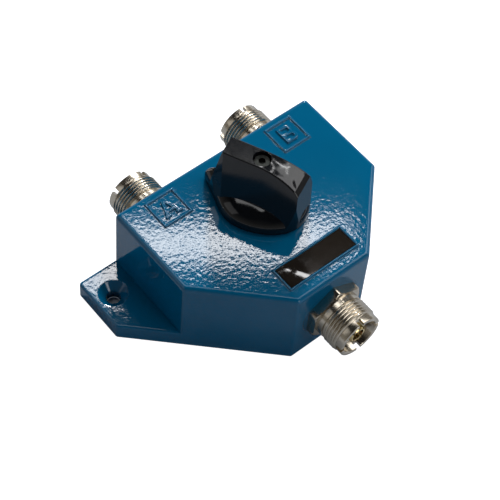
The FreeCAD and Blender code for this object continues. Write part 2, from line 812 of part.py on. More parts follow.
def knob():
    """Moulded pointer knob, hollow below, on the shaft's flatted end."""
    body = knob_skirt().fuse(knob_bar())
    hollow = Part.Face(skirt_outline(knob_wall, knob_base)).extrude(V(0, 0, knob_hollow_depth))
    hub_base = body_height + knob_hub_gap
    body = body.cut(hollow.cut(disc(knob_hub_radius, knob_base, knob_base + knob_hollow_depth)))
    body = body.fuse(disc(knob_hub_radius, hub_base, knob_base + knob_hollow_depth))
    bore = flatted(shaft_radius + knob_bore_fit, shaft_flat + knob_bore_fit, hub_base - past, knob_bore_top)
    screw_hole = disc(knob_screw_radius + screw_clearance, knob_bore_top - past, knob_top)
    counterbore = disc(knob_screw_head_radius + counterbore_clearance, counterbore_floor, knob_top + past)
    body = body.cut(bore.multiFuse([screw_hole, counterbore]))
    return turn_z(body.removeSplitter(), rest_turn)


def knob_screw():
    """Socket screw that holds the knob down on the shaft."""
    head_top = counterbore_floor + knob_screw_head_height
    head = disc(knob_screw_head_radius, counterbore_floor, head_top)
    shank = disc(knob_screw_radius, shaft_top - knob_screw_engagement, counterbore_floor)
    socket = hexagon(knob_screw_socket_flats, head_top - knob_screw_socket_depth, head_top + past, 30)
    return head.fuse(shank).cut(socket)


def label_plate():
    """Thin plate glued inside its raised frame."""
    return block(-label_length / 2, label_length / 2, label_y - label_width / 2, label_y + label_width / 2,
                 body_height, body_height + label_thickness)


# ---- Sub-parts ----------------------------------------------------------------------------------

save(housing(), "housing")
save(base_plate(), "base_plate")
save(base_plate_screws(), "base_plate_screws")
save(label_plate(), "label_plate")

for port_name, port_x, port_seat_y, port_side in port_places():
    place = (port_x, port_seat_y, port_side)
    turn = notch_turns[port_name]
    save(along_wall(socket_shell(turn), *place), port_name + "_connector_shell")
    save(along_wall(socket_insulator(), *place), port_name + "_insulator")
    save(along_wall(socket_contact(), *place), port_name + "_contact")

save(common_strip(), "common_strip")
save(fixed_contact(-1), "fixed_contact_a")
save(fixed_contact(1), "fixed_contact_b")
save(shaft_bush(), "shaft_bush")
save(detent_spring(), "detent_spring")

save(shaft(), "shaft")
save(retaining_rings(), "retaining_rings")
save(detent_disc(), "detent_disc")
save(rotor_hub(), "rotor_hub")
save(rotor_blade(), "rotor_blade")
save(knob(), "knob")
save(knob_screw(), "knob_screw")
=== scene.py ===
import math

import bmesh
import bpy
from mathutils import Matrix, Quaternion, Vector


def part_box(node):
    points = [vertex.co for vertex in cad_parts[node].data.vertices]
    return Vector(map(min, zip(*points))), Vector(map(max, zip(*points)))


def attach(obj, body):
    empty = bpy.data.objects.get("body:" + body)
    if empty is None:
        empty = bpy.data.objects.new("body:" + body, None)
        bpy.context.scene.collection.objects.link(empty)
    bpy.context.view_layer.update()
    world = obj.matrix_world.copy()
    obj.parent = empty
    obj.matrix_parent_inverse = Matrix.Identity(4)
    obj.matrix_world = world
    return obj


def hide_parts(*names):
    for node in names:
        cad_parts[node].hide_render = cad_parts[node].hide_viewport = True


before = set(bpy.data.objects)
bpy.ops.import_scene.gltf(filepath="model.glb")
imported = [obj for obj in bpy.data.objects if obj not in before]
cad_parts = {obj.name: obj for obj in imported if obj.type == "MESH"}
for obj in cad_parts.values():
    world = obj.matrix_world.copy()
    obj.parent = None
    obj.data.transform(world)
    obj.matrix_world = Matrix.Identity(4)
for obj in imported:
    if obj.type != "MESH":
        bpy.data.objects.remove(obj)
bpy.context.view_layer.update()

# ---- Housing ------------------------------------------------------------------------------------
# A hollow box with two screw-down ears, die-cast in zinc alloy in one piece. It is sprayed with a
# thick blue enamel and stoved, which leaves an orange peel on the level faces and flows smooth on
# the walls.

MM = 0.001


def srgb(code):
    """Linear colour of an sRGB hex value."""
    parts = [int(code[i:i + 2], 16) / 255 for i in (1, 3, 5)]
    return tuple(p / 12.92 if p <= 0.04045 else ((p + 0.055) / 1.055) ** 2.4 for p in parts) + (1.0,)


def new_material(name):
    """An empty node material and its tree."""
    material = bpy.data.materials.new(name)
    material.use_nodes = True
    material.node_tree.nodes.clear()
    return material, material.node_tree


def add(tree, kind, settings=None, links=None):
    """Add one node, with its settings by property or socket name and its inputs linked to outputs."""
    node = tree.nodes.new(kind)
    for key, value in (settings or {}).items():
        if isinstance(key, str) and hasattr(node, key):
            setattr(node, key, value)
        else:
            node.inputs[key].default_value = value
    for key, output in (links or {}).items():
        tree.links.new(output, node.inputs[key])
    return node


def smooth(mesh, angle=32.0):
    """Shade a mesh smooth, with creases kept where its faces meet at more than the angle."""
    mesh.shade_smooth()
    mesh.set_sharp_from_angle(angle=math.radians(angle))


def dress(node, material, angle=32.0):
    """Give a solid of the frame its finish."""
    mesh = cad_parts[node].data
    mesh.materials.clear()
    mesh.materials.append(material)
    smooth(mesh, angle)


# Stoved alkyd enamel over zinc alloy: glossy, its peel 1.25 mm apart on the level faces, and drawn
# round over 0.6 mm at every edge. The crease between ear and wall is left sharp.
peel_width, peel_relief, drift_width = 1.25 * MM, 0.022 * MM, 18 * MM
edge_flow = 0.6 * MM
crease_x, crease_z, crease_reach = 36.95 * MM, 5.8 * MM, 0.9 * MM
enamel, tree = new_material("stoved_blue_enamel")
place = add(tree, "ShaderNodeTexCoord").outputs["Object"]
normal = add(tree, "ShaderNodeNewGeometry").outputs["Normal"]
upward = add(tree, "ShaderNodeSeparateXYZ", links={"Vector": normal}).outputs["Z"]
level = add(tree, "ShaderNodeMapRange", {"From Min": 0.9, "From Max": 0.995, "To Min": 0.12},
            {"Value": upward})
peel = add(tree, "ShaderNodeTexNoise", {"Scale": 1 / peel_width, "Detail": 1.8, "Roughness": 0.5},
           {"Vector": place})
flow = add(tree, "ShaderNodeBevel", {"samples": 6, "Radius": edge_flow})
either_side = add(tree, "ShaderNodeVectorMath", {"operation": "ABSOLUTE"}, {0: place})
from_crease = add(tree, "ShaderNodeVectorMath", {"operation": "SUBTRACT", 1: (crease_x, 0, crease_z)},
                  {0: either_side.outputs["Vector"]})
across_crease = add(tree, "ShaderNodeVectorMath", {"operation": "MULTIPLY", 1: (1, 0, 1)},
                    {0: from_crease.outputs["Vector"]})
gap = add(tree, "ShaderNodeVectorMath", {"operation": "LENGTH"}, {0: across_crease.outputs["Vector"]})
beyond = add(tree, "ShaderNodeMath", {"operation": "GREATER_THAN", 1: crease_reach},
             {0: gap.outputs["Value"]})
drawn_round = add(tree, "ShaderNodeMix", {"data_type": "VECTOR"},
                  {"Factor": beyond.outputs[0], 4: normal, 5: flow.outputs["Normal"]})
rise = add(tree, "ShaderNodeBump", {"Distance": peel_relief},
           {"Height": peel.outputs["Fac"], "Strength": level.outputs["Result"],
            "Normal": drawn_round.outputs[1]})
drift = add(tree, "ShaderNodeTexNoise", {"Scale": 1 / drift_width, "Detail": 2.0}, {"Vector": place})
tint = add(tree, "ShaderNodeMix", {"data_type": "RGBA", "A": srgb("#00577c"), "B": srgb("#025f86")},
           {"Factor": drift.outputs["Fac"]})
shader = add(tree, "ShaderNodeBsdfPrincipled", {"Roughness": 0.06, "IOR": 1.5},
             {"Base Color": tint.outputs["Result"], "Normal": rise.outputs["Normal"]})
add(tree, "ShaderNodeOutputMaterial", links={"Surface": shader.outputs["BSDF"]})
dress("housing", enamel)

# ---- Port letters -------------------------------------------------------------------------------
# A letter A and a letter B stand in their raised frames, one next to each port. They are cast with
# the housing, so they have its enamel, which rounds their edges off.

letter_relief = 0.45 * MM
letter_rounding = 0.14 * MM
letter_outlines = {
    "a": [[(-2.95, -2.95), (-0.95, -2.95), (-0.95, -2.15), (-1.38, -2.15), (-1.12, -1.4), (1.12, -1.4),
           (1.38, -2.15), (0.95, -2.15), (0.95, -2.95), (2.95, -2.95), (2.95, -2.15), (2.5, -2.15),
           (0.78, 2.95), (-0.78, 2.95), (-2.5, -2.15), (-2.95, -2.15)],
          [(-0.78, -0.45), (0.78, -0.45), (0.0, 1.85)]],
    "b": [[(-2.2, -2.95), (1.0, -2.95), (1.75, -2.8), (2.3, -2.35), (2.55, -1.6), (2.4, -0.8),
           (1.75, -0.05), (2.15, 0.55), (2.3, 1.3), (2.15, 2.1), (1.65, 2.7), (0.95, 2.95), (-2.2, 2.95)],
          [(-1.15, -2.0), (0.9, -2.0), (1.35, -1.8), (1.5, -1.35), (1.35, -0.85), (0.9, -0.6),
           (-1.15, -0.6)],
          [(-1.15, 0.4), (0.75, 0.4), (1.15, 0.7), (1.3, 1.2), (1.15, 1.75), (0.7, 2.0), (-1.15, 2.0)]],
}
letter_x, letter_y, roof_height = 22.7 * MM, 13.5 * MM, 30.0 * MM
for key, side in (("a", -1), ("b", 1)):
    sketch = bpy.data.curves.new("letter_sketch", "CURVE")
    sketch.dimensions = "2D"
    sketch.fill_mode = "BOTH"
    for outline in letter_outlines[key]:
        spline = sketch.splines.new("POLY")
        spline.points.add(len(outline) - 1)
        for point, (x, y) in zip(spline.points, outline):
            point.co = (x * MM, y * MM, 0, 1)
        spline.use_cyclic_u = True
    sketch.extrude = letter_relief - letter_rounding
    sketch.bevel_depth = letter_rounding
    sketch.bevel_resolution = 3
    sketch.offset = -letter_rounding
    drawn = bpy.data.objects.new("letter_sketch", sketch)
    mesh = bpy.data.meshes.new_from_object(drawn)
    bpy.data.objects.remove(drawn)
    mesh.transform(Matrix.Translation((side * letter_x, letter_y, roof_height)))
    mesh.materials.clear()
    mesh.materials.append(enamel)
    smooth(mesh, 50.0)
    letter = bpy.data.objects.new("port_letter_" + key, mesh)
    bpy.context.scene.collection.objects.link(letter)
    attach(letter, "body")

# ---- Base plate and its screws ------------------------------------------------------------------
# A lid of zinc-plated sheet steel closes the casting from below. Four countersunk screws with a
# cross recess hold it, plated the same way.

# Bright zinc on cold-rolled steel: the plating's spangle 2.2 mm wide, faint rolling lines along X
spangle_width, rolling_width, rolling_relief = 2.2 * MM, 0.25 * MM, 0.004 * MM
zinc, tree = new_material("zinc_plated_sheet_steel")
place = add(tree, "ShaderNodeTexCoord").outputs["Object"]
spangle = add(tree, "ShaderNodeTexVoronoi", {"Scale": 1 / spangle_width}, {"Vector": place})
stretched = add(tree, "ShaderNodeMapping", {"Scale": (0.04, 1.0, 1.0)}, {"Vector": place})
rolling = add(tree, "ShaderNodeTexNoise", {"Scale": 1 / rolling_width, "Detail": 2.0},
              {"Vector": stretched.outputs["Vector"]})
shade = add(tree, "ShaderNodeMix", {"data_type": "RGBA", "A": srgb("#b9bdc1"), "B": srgb("#cbced0")},
            {"Factor": spangle.outputs["Color"]})
gloss = add(tree, "ShaderNodeMapRange", {"To Min": 0.26, "To Max": 0.42}, {"Value": rolling.outputs["Fac"]})
rise = add(tree, "ShaderNodeBump", {"Distance": rolling_relief, "Strength": 0.6},
           {"Height": rolling.outputs["Fac"]})
shader = add(tree, "ShaderNodeBsdfPrincipled", {"Metallic": 1.0},
             {"Base Color": shade.outputs["Result"], "Roughness": gloss.outputs["Result"],
              "Normal": rise.outputs["Normal"]})
add(tree, "ShaderNodeOutputMaterial", links={"Surface": shader.outputs["BSDF"]})
dress("base_plate", zinc)

screw_places = [(-31.85, 16.4), (31.85, 16.4), (-10.3, -29.6), (10.3, -29.6)]
screw_turns = (12.0, 55.0, 31.0, 78.0)
screw_columns = 40
# A screw as (radius, height), and its recess as (share of the arms' size, height)
screw_profile = [(2.66, 0.0), (2.73, 0.07), (1.5, 1.3), (1.5, 7.6), (1.15, 8.0)]
recess_profile = [(1.0, -0.5), (1.0, 0.0), (0.5, 1.3)]
arm_reach, arm_half = 1.5, 0.3
recess_arms = [(arm_reach, arm_half), (arm_half, arm_half), (arm_half, arm_reach),
               (-arm_half, arm_reach), (-arm_half, arm_half), (-arm_reach, arm_half),
               (-arm_reach, -arm_half), (-arm_half, -arm_half), (-arm_half, -arm_reach),
               (arm_half, -arm_reach), (arm_half, -arm_half), (arm_reach, -arm_half)]


def carve(body, cutter_mesh):
    """Cut a closed mesh out of an object's own mesh."""
    cutter = bpy.data.objects.new("cutter", cutter_mesh)
    bpy.context.scene.collection.objects.link(cutter)
    cut = body.modifiers.new("cut", "BOOLEAN")
    cut.object = cutter
    cut.use_self = True
    bpy.context.view_layer.update()
    carved = bpy.data.meshes.new_from_object(body.evaluated_get(bpy.context.evaluated_depsgraph_get()))
    body.modifiers.clear()
    body.data = carved
    bpy.data.objects.remove(cutter)


def level_ring(x, y, radius, height):
    """A level ring of points about a screw's axis."""
    turns = [2 * math.pi * i / screw_columns for i in range(screw_columns)]
    return [(x + radius * math.cos(turn), y + radius * math.sin(turn), height) for turn in turns]


def stacked_mesh(name, stacks):
    """Closed mesh of stacks of rings. All rings of a stack have the same number of points."""
    points, faces = [], []
    for rings in stacks:
        start, count = len(points), len(rings[0])
        for ring in rings:
            points += ring
        for k in range(len(rings) - 1):
            for i in range(count):
                a, b = start + k * count + i, start + k * count + (i + 1) % count
                faces.append((a, b, b + count, a + count))
        faces.append(tuple(start + i for i in reversed(range(count))))
        faces.append(tuple(start + (len(rings) - 1) * count + i for i in range(count)))
    mesh = bpy.data.meshes.new(name)
    mesh.from_pydata([tuple(c * MM for c in p) for p in points], [], faces)
    return mesh


screw_stacks, recess_stacks = [], []
for (x, y), turn in zip(screw_places, screw_turns):
    screw_stacks.append([level_ring(x, y, radius, height) for radius, height in screw_profile])
    cosine, sine = math.cos(math.radians(turn)), math.sin(math.radians(turn))
    arms = [(a * cosine - b * sine, a * sine + b * cosine) for a, b in recess_arms]
    recess_stacks.append([[(x + share * a, y + share * b, height) for a, b in arms]
                          for share, height in recess_profile])
screws = bpy.data.objects.new("cross_recess_screws", stacked_mesh("cross_recess_screws", screw_stacks))
bpy.context.scene.collection.objects.link(screws)
carve(screws, stacked_mesh("recess_cutter", recess_stacks))
screws.data.materials.clear()
screws.data.materials.append(zinc)
smooth(screws.data)
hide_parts("base_plate_screws")
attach(screws, "body")

# ---- Label plate --------------------------------------------------------------------------------
# A thin aluminium plate, anodised black and lacquered, is glued inside a raised frame on the roof.
# It is left bare. It lies a little lower at the back than at the front, and at its left end, where it
# has come loose and gone wavy, a little higher.

# Clear lacquer over black anodising: brown-black and mirror-like, with waves 3.5 mm apart where loose
wave_width, wave_relief, dye_width = 3.5 * MM, 0.07 * MM, 1.2 * MM
loose_end, held_from = -11 * MM, -5 * MM
lacquer, tree = new_material("black_anodised_plate_lacquered")
place = add(tree, "ShaderNodeTexCoord").outputs["Object"]
waves = add(tree, "ShaderNodeTexNoise", {"Scale": 1 / wave_width, "Detail": 1.0}, {"Vector": place})
dye = add(tree, "ShaderNodeTexNoise", {"Scale": 1 / dye_width, "Detail": 3.0}, {"Vector": place})
shade = add(tree, "ShaderNodeMix", {"data_type": "RGBA", "A": srgb("#1b1714"), "B": srgb("#26211c")},
            {"Factor": dye.outputs["Fac"]})
across = add(tree, "ShaderNodeSeparateXYZ", links={"Vector": place}).outputs["X"]
loose = add(tree, "ShaderNodeMapRange",
            {"From Min": loose_end, "From Max": held_from, "To Min": 1.0, "To Max": 0.15}, {"Value": across})
rise = add(tree, "ShaderNodeBump", {"Distance": wave_relief},
           {"Height": waves.outputs["Fac"], "Strength": loose.outputs["Result"]})
shader = add(tree, "ShaderNodeBsdfPrincipled", {"Roughness": 0.05, "IOR": 1.5},
             {"Base Color": shade.outputs["Result"], "Normal": rise.outputs["Normal"]})
add(tree, "ShaderNodeOutputMaterial", links={"Surface": shader.outputs["BSDF"]})

(left, front, low), (right, back, high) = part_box("label_plate")
plate_columns, plate_rows = 48, 8
lean, left_lean, left_share, face_drop = 0.038, -0.03, 0.3, 0.02 * MM
points = []
for row in range(plate_rows + 1):
    for column in range(plate_columns + 1):
        share = column / plate_columns
        blend = min(1.0, share / left_share) ** 2
        slope = left_lean + (lean - left_lean) * blend
        y = front + (back - front) * row / plate_rows
        points.append((left + (right - left) * share, y, high - face_drop - slope * (y - front)))
row_length = plate_columns + 1
faces = []
for row in range(plate_rows):
    for column in range(plate_columns):
        a = row * row_length + column
        faces.append((a, a + 1, a + row_length + 1, a + row_length))
rim = list(range(row_length)) + [row_length * (r + 1) - 1 for r in range(1, plate_rows + 1)]
rim += [plate_rows * row_length + c for c in reversed(range(plate_columns))]
rim += [row_length * r for r in reversed(range(1, plate_rows))]
foot = [len(points) + i for i in range(len(rim))]
points += [(points[i][0], points[i][1], low) for i in rim]
for i, a in enumerate(rim):
    j = (i + 1) % len(rim)
    faces.append((rim[j], a, foot[i], foot[j]))
faces.append(tuple(reversed(foot)))
plate_mesh = bpy.data.meshes.new("blank_label_plate")
plate_mesh.from_pydata(points, [], faces)
plate_mesh.materials.append(lacquer)
smooth(plate_mesh)
plate = bpy.data.objects.new("blank_label_plate", plate_mesh)
bpy.context.scene.collection.objects.link(plate)
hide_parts("label_plate")
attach(plate, "body")

# ---- Connector shells ---------------------------------------------------------------------------
# Three coaxial socket shells, turned in brass and nickel plated: a hexagon against the wall, a plain
# collar, a 5/8 inch thread with 24 turns to the inch, and a lip with four notches that key the plug.

# Bright nickel over turned brass: warm grey, with tool marks 0.12 mm apart round the axis
turning_width, turning_relief, stain_width = 0.12 * MM, 0.004 * MM, 3.0 * MM
nickel, tree = new_material("bright_nickel_on_turned_brass")
place = add(tree, "ShaderNodeTexCoord").outputs["Object"]
stretched = add(tree, "ShaderNodeMapping", {"Scale": (0.05, 1.0, 0.05)}, {"Vector": place})
turning = add(tree, "ShaderNodeTexNoise", {"Scale": 1 / turning_width, "Detail": 2.0},
              {"Vector": stretched.outputs["Vector"]})
stain = add(tree, "ShaderNodeTexNoise", {"Scale": 1 / stain_width, "Detail": 3.0}, {"Vector": place})
shade = add(tree, "ShaderNodeMix", {"data_type": "RGBA", "A": srgb("#bbb1a0"), "B": srgb("#d0c8ba")},
            {"Factor": stain.outputs["Fac"]})
gloss = add(tree, "ShaderNodeMapRange", {"From Min": 0.3, "From Max": 0.7, "To Min": 0.16, "To Max": 0.26},
            {"Value": turning.outputs["Fac"]})
rise = add(tree, "ShaderNodeBump", {"Distance": turning_relief, "Strength": 0.7},
           {"Height": turning.outputs["Fac"]})
shader = add(tree, "ShaderNodeBsdfPrincipled", {"Metallic": 1.0},
             {"Base Color": shade.outputs["Result"], "Roughness": gloss.outputs["Result"],
              "Normal": rise.outputs["Normal"]})
add(tree, "ShaderNodeOutputMaterial", links={"Surface": shader.outputs["BSDF"]})

COLUMNS = 96
spigot_radius, spigot_length = 6.35, 5.8
hex_flats, hex_length, hex_chamfer = 17.0, 3.0, 0.8
thread_radius, thread_depth, thread_pitch = 7.94, 0.62, 25.4 / 24
thread_start, thread_end, thread_run_out = 5.4, 11.0, 0.45
collar_radius, collar_end, collar_chamfer = 7.8, 5.0, 0.2
lip_radius, lip_rounding, lip_chamfer = 7.45, 0.25, 0.1
bore_radius, bore_chamfer, rear_bore_radius, bore_floor = 6.1, 0.2, 4.3, 1.0
socket_length = 13.4
notch_width, notch_depth = 1.6, 2.0
weld_reach, sliver = 0.002, 0.001
root_radius = thread_radius - thread_depth
# One turn of the thread as (share of the pitch, share of the depth)
thread_form = [(0.0, 0.0), (0.12, 0.0), (0.22, 0.12), (0.43, 0.92),
               (0.5, 1.0), (0.6, 1.0), (0.67, 0.92), (0.9, 0.12)]


def hexagon_radius(angle):
    """Distance from a hexagon's axis to its side at an angle."""
    sector = math.radians(60)
    return hex_flats / 2 / math.cos((angle + sector / 2) % sector - sector / 2)


def round_ring(radius, height):
    """One ring of points about Z."""
    return [(radius, height)] * COLUMNS


def hexagon_ring(limit, height):
    """One ring of points on the hexagon, no further out than the limit."""
    return [(min(limit, hexagon_radius(2 * math.pi * i / COLUMNS)), height) for i in range(COLUMNS)]


def skin(rings, rings_a_turn=0):
    """Vertices and faces through rings of (radius, height). On a thread, a ring's last column meets
    the first column of the ring one turn on."""
    points = []
    for ring in rings:
        for i, (radius, height) in enumerate(ring):
            angle = 2 * math.pi * i / COLUMNS
            points.append((radius * math.cos(angle) * MM, radius * math.sin(angle) * MM, height * MM))
    faces = []
    for k in range(len(rings) - 1 - rings_a_turn):
        for i in range(COLUMNS):
            here, above = k * COLUMNS + i, (k + 1) * COLUMNS + i
            if i + 1 < COLUMNS:
                faces.append((here, here + 1, above + 1, above))
            else:
                joined = (k + rings_a_turn) * COLUMNS
                faces.append((here, joined, joined + COLUMNS, above))
    return points, faces


def thread_rings():
    """Rings that climb with the thread, held between its two ends, where its depth dies out."""
    rings = []
    turns = math.ceil((thread_end - thread_start) / thread_pitch) + 2
    for turn in range(turns + 1):
        for share, depth in thread_form:
            ring = []
            for i in range(COLUMNS):
                height = thread_start + thread_pitch * (turn - 1 + share + i / COLUMNS)
                height = min(max(height, thread_start), thread_end)
                to_end = min(height - thread_start, thread_end - height)
                fade = min(1.0, to_end / thread_run_out)
                ring.append((root_radius + thread_depth * min(depth, fade), height))
            rings.append(ring)
    return rings


lip_end = socket_length - lip_rounding
profile_before = [round_ring(rear_bore_radius, bore_floor), round_ring(rear_bore_radius, -spigot_length),
                  round_ring(spigot_radius, -spigot_length), round_ring(spigot_radius, 0.0)]
corner = hex_flats / math.sqrt(3)
profile_before += [hexagon_ring(corner, 0.0), hexagon_ring(corner, hex_length - hex_chamfer / 2),
                   hexagon_ring(corner - hex_chamfer / 2, hex_length - hex_chamfer / 4),
                   hexagon_ring(corner - hex_chamfer, hex_length), round_ring(collar_radius, hex_length),
                   round_ring(collar_radius, collar_end),
                   round_ring(root_radius, collar_end + collar_chamfer),
                   round_ring(root_radius, thread_start)]
profile_after = [round_ring(root_radius, thread_end), round_ring(lip_radius, thread_end + lip_chamfer),
                 round_ring(lip_radius, lip_end)]
for step in (30, 60, 90):
    turn = math.radians(step)
    profile_after.append(round_ring(lip_radius - lip_rounding * (1 - math.cos(turn)),
                                    lip_end + lip_rounding * math.sin(turn)))
profile_after += [round_ring(bore_radius + bore_chamfer, socket_length),
                  round_ring(bore_radius, socket_length - bore_chamfer),
                  round_ring(bore_radius, bore_floor), round_ring(rear_bore_radius, bore_floor)]

# Each port's seat on its wall, the turn that lays its axis level, and the turn of its notches
ports = {"common": ((0.0, -34.391, 15.0), 90.0, 4.0), "port_a": ((-21.6, 21.191, 15.0), -90.0, 40.0),
         "port_b": ((21.6, 21.191, 15.0), -90.0, 6.0)}


def socket_shell(name, notch_turn):
    """One socket shell about Z, with its seat at height 0."""
    build = bmesh.new()
    for rings, shift in ((profile_before, 0), (thread_rings(), len(thread_form)), (profile_after, 0)):
        points, faces = skin(rings, shift)
        added = [build.verts.new(p) for p in points]
        for face in faces:
            build.faces.new([added[i] for i in face])
    bmesh.ops.remove_doubles(build, verts=build.verts, dist=weld_reach * MM)
    bmesh.ops.dissolve_degenerate(build, edges=build.edges, dist=sliver * MM)
    loose = [v for v in build.verts if not v.link_faces]
    bmesh.ops.delete(build, geom=loose, context="VERTS")
    bmesh.ops.recalc_face_normals(build, faces=build.faces)
    mesh = bpy.data.meshes.new(name)
    build.to_mesh(mesh)
    build.free()
    body = bpy.data.objects.new(name, mesh)
    bpy.context.scene.collection.objects.link(body)
    notches = bmesh.new()
    for quarter in (0, 90):
        size = Matrix.Diagonal((2 * (thread_radius + 1) * MM, notch_width * MM, 2 * notch_depth * MM, 1))
        spin = Matrix.Rotation(math.radians(notch_turn + quarter), 4, "Z")
        rise_to_lip = Matrix.Translation((0, 0, socket_length * MM))
        bmesh.ops.create_cube(notches, size=1.0, matrix=rise_to_lip @ spin @ size)
    cutter_mesh = bpy.data.meshes.new("notch_cutter")
    notches.to_mesh(cutter_mesh)
    notches.free()
    carve(body, cutter_mesh)
    return body


for port, (seat, tilt, notch_turn) in ports.items():
    shell = socket_shell(port + "_socket_shell", notch_turn)
    stand = Matrix.Translation(Vector(seat) * MM) @ Matrix.Rotation(math.radians(tilt), 4, "X")
    shell.data.transform(stand)
    shell.data.materials.clear()
    shell.data.materials.append(nickel)
    smooth(shell.data, 50.0)
    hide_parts(port + "_connector_shell")
    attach(shell, "body")

# ---- Insulators ---------------------------------------------------------------------------------
# A sleeve of cream thermoset fills each shell round its centre contact. It is compression moulded and
# slid in from the shell's mouth as far as the step in the bore.

# Compression-moulded thermoset: satin cream with flow marks 1.6 mm wide, and a little light gets in
flow_width, flow_relief, light_depth = 1.6 * MM, 0.01 * MM, 0.6 * MM
cream, tree = new_material("moulded_cream_thermoset")
place = add(tree, "ShaderNodeTexCoord").outputs["Object"]
flow = add(tree, "ShaderNodeTexNoise", {"Scale": 1 / flow_width, "Detail": 4.0}, {"Vector": place})
shade = add(tree, "ShaderNodeMix", {"data_type": "RGBA", "A": srgb("#ddd4c0"), "B": srgb("#ece6d6")},
            {"Factor": flow.outputs["Fac"]})
rise = add(tree, "ShaderNodeBump", {"Distance": flow_relief}, {"Height": flow.outputs["Fac"]})
shader = add(tree, "ShaderNodeBsdfPrincipled", {"Roughness": 0.42, "IOR": 1.5, "Subsurface Weight": 0.15,
                                                "Subsurface Scale": light_depth},
             {"Base Color": shade.outputs["Result"], "Normal": rise.outputs["Normal"]})
add(tree, "ShaderNodeOutputMaterial", links={"Surface": shader.outputs["BSDF"]})
for port in ports:
    dress(port + "_insulator", cream)

# ---- Centre contacts ----------------------------------------------------------------------------
# A gilded brass contact runs through each insulator and takes the plug's pin. It is turned in one piece
# with its solder tail, and its mouth is sawn in four so that it grips.

# Gilding over turned brass: pale yellow, with tool marks 0.1 mm apart round the axis
turning_width, turning_relief = 0.1 * MM, 0.004 * MM
gilding, tree = new_material("gilding_on_turned_brass")
place = add(tree, "ShaderNodeTexCoord").outputs["Object"]
stretched = add(tree, "ShaderNodeMapping", {"Scale": (0.08, 1.0, 0.08)}, {"Vector": place})
turning = add(tree, "ShaderNodeTexNoise", {"Scale": 1 / turning_width, "Detail": 2.0},
              {"Vector": stretched.outputs["Vector"]})
shade = add(tree, "ShaderNodeMix", {"data_type": "RGBA", "A": srgb("#d3b777"), "B": srgb("#e6d199")},
            {"Factor": turning.outputs["Fac"]})
rise = add(tree, "ShaderNodeBump", {"Distance": turning_relief}, {"Height": turning.outputs["Fac"]})
shader = add(tree, "ShaderNodeBsdfPrincipled", {"Metallic": 1.0, "Roughness": 0.2},
             {"Base Color": shade.outputs["Result"], "Normal": rise.outputs["Normal"]})
add(tree, "ShaderNodeOutputMaterial", links={"Surface": shader.outputs["BSDF"]})
for port in ports:
    dress(port + "_contact", gilding)

# ---- Contact strips and blade -------------------------------------------------------------------
# Strips of sheet brass run from the contacts to the middle, and a blade on the rotor joins two of
# them. They are silvered, which has gone slightly yellow.

# Silvering over rolled brass: pale grey, duller and yellower in patches 4 mm wide
tarnish_width = 4.0 * MM
silvering, tree = new_material("silvering_on_sheet_brass")
place = add(tree, "ShaderNodeTexCoord").outputs["Object"]
tarnish = add(tree, "ShaderNodeTexNoise", {"Scale": 1 / tarnish_width, "Detail": 5.0}, {"Vector": place})
shade = add(tree, "ShaderNodeMix", {"data_type": "RGBA", "A": srgb("#cfc6ae"), "B": srgb("#e8e4da")},
            {"Factor": tarnish.outputs["Fac"]})
gloss = add(tree, "ShaderNodeMapRange", {"To Min": 0.38, "To Max": 0.2}, {"Value": tarnish.outputs["Fac"]})
shader = add(tree, "ShaderNodeBsdfPrincipled", {"Metallic": 1.0},
             {"Base Color": shade.outputs["Result"], "Roughness": gloss.outputs["Result"]})
add(tree, "ShaderNodeOutputMaterial", links={"Surface": shader.outputs["BSDF"]})
for node in ("common_strip", "fixed_contact_a", "fixed_contact_b", "rotor_blade"):
    dress(node, silvering)

# ---- Bearing bush -------------------------------------------------------------------------------
# A flanged bush of plain brass carries the shaft. It is turned from bar and pressed into the roof from
# inside.

# Turned brass as cut: yellow, with tool marks 0.15 mm apart round the axis
turning_width, turning_relief = 0.15 * MM, 0.006 * MM
brass, tree = new_material("plain_turned_brass")
place = add(tree, "ShaderNodeTexCoord").outputs["Object"]
stretched = add(tree, "ShaderNodeMapping", {"Scale": (0.08, 0.08, 1.0)}, {"Vector": place})
turning = add(tree, "ShaderNodeTexNoise", {"Scale": 1 / turning_width, "Detail": 2.0},
              {"Vector": stretched.outputs["Vector"]})
shade = add(tree, "ShaderNodeMix", {"data_type": "RGBA", "A": srgb("#b58a45"), "B": srgb("#cfa763")},
            {"Factor": turning.outputs["Fac"]})
rise = add(tree, "ShaderNodeBump", {"Distance": turning_relief}, {"Height": turning.outputs["Fac"]})
shader = add(tree, "ShaderNodeBsdfPrincipled", {"Metallic": 1.0, "Roughness": 0.3},
             {"Base Color": shade.outputs["Result"], "Normal": rise.outputs["Normal"]})
add(tree, "ShaderNodeOutputMaterial", links={"Surface": shader.outputs["BSDF"]})
dress("shaft_bush", brass)

# ---- Shaft, rings and detent --------------------------------------------------------------------
# The shaft is turned from bright steel. Spring rings hold it in the bush, and a notched disc on it
# meets a leaf of blue-grey spring steel at each of the two positions.

# Turned steel as cut: cool grey, with tool marks 0.12 mm apart round the axis
turning_width, turning_relief = 0.12 * MM, 0.006 * MM
steel, tree = new_material("bright_turned_steel")
place = add(tree, "ShaderNodeTexCoord").outputs["Object"]
stretched = add(tree, "ShaderNodeMapping", {"Scale": (0.08, 0.08, 1.0)}, {"Vector": place})
turning = add(tree, "ShaderNodeTexNoise", {"Scale": 1 / turning_width, "Detail": 2.0},
              {"Vector": stretched.outputs["Vector"]})
shade = add(tree, "ShaderNodeMix", {"data_type": "RGBA", "A": srgb("#a9abad"), "B": srgb("#c4c5c6")},
            {"Factor": turning.outputs["Fac"]})
rise = add(tree, "ShaderNodeBump", {"Distance": turning_relief}, {"Height": turning.outputs["Fac"]})
shader = add(tree, "ShaderNodeBsdfPrincipled", {"Metallic": 1.0, "Roughness": 0.28},
             {"Base Color": shade.outputs["Result"], "Normal": rise.outputs["Normal"]})
